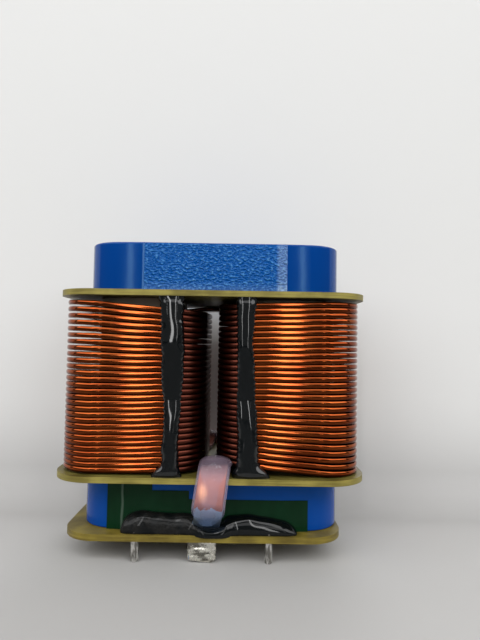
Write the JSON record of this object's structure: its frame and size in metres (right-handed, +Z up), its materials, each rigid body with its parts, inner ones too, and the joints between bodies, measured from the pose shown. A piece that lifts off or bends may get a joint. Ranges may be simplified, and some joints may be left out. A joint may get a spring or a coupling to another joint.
{
  "type": "flat wire inductor",
  "caption": "Power inductor with flat copper wire wound on edge round the legs of a coated core, between flange boards, on a base board with solder pins and tinned lead tabs.",
  "frame": {"origin": "on the plane of the pin tips, under the middle of the core", "axes": "+X along the yokes to the right, +Y to the rear, +Z up along the legs"},
  "size_m": [0.0744, 0.0498, 0.0773],
  "materials": {
    "core_coating": "satin",
    "leg_tube": "matte",
    "enamelled_copper": "gloss",
    "flange_laminate": "satin",
    "base_laminate": "satin",
    "lead_sleeve": "satin",
    "solder": "satin",
    "pin_tin": "satin",
    "black_glue": "gloss",
    "green_tape": "satin"
  },
  "bodies": {
    "root": {"base_board": "base_laminate", "front_base_glue": "black_glue", "front_lead_sleeve": "lead_sleeve", "front_left_glue_bead": "black_glue", "front_left_pin": "pin_tin", "front_left_tape": "green_tape", "front_right_glue_bead": "black_glue", "front_right_pin": "pin_tin", "front_right_tape": "green_tape", "front_tab_solder": "solder", "left_coil": "enamelled_copper", "left_leg": "core_coating", "left_leg_tube": "leg_tube", "lower_flange_board": "flange_laminate", "lower_yoke": "core_coating", "rear_base_glue": "black_glue", "rear_lead_sleeve": "lead_sleeve", "rear_left_glue_bead": "black_glue", "rear_left_pin": "pin_tin", "rear_left_tape": "green_tape", "rear_right_glue_bead": "black_glue", "rear_right_pin": "pin_tin", "rear_right_tape": "green_tape", "rear_tab_solder": "solder", "right_coil": "enamelled_copper", "right_leg": "core_coating", "right_leg_tube": "leg_tube", "upper_flange_board": "flange_laminate", "upper_yoke": "core_coating"}
  },
  "joints": []
}
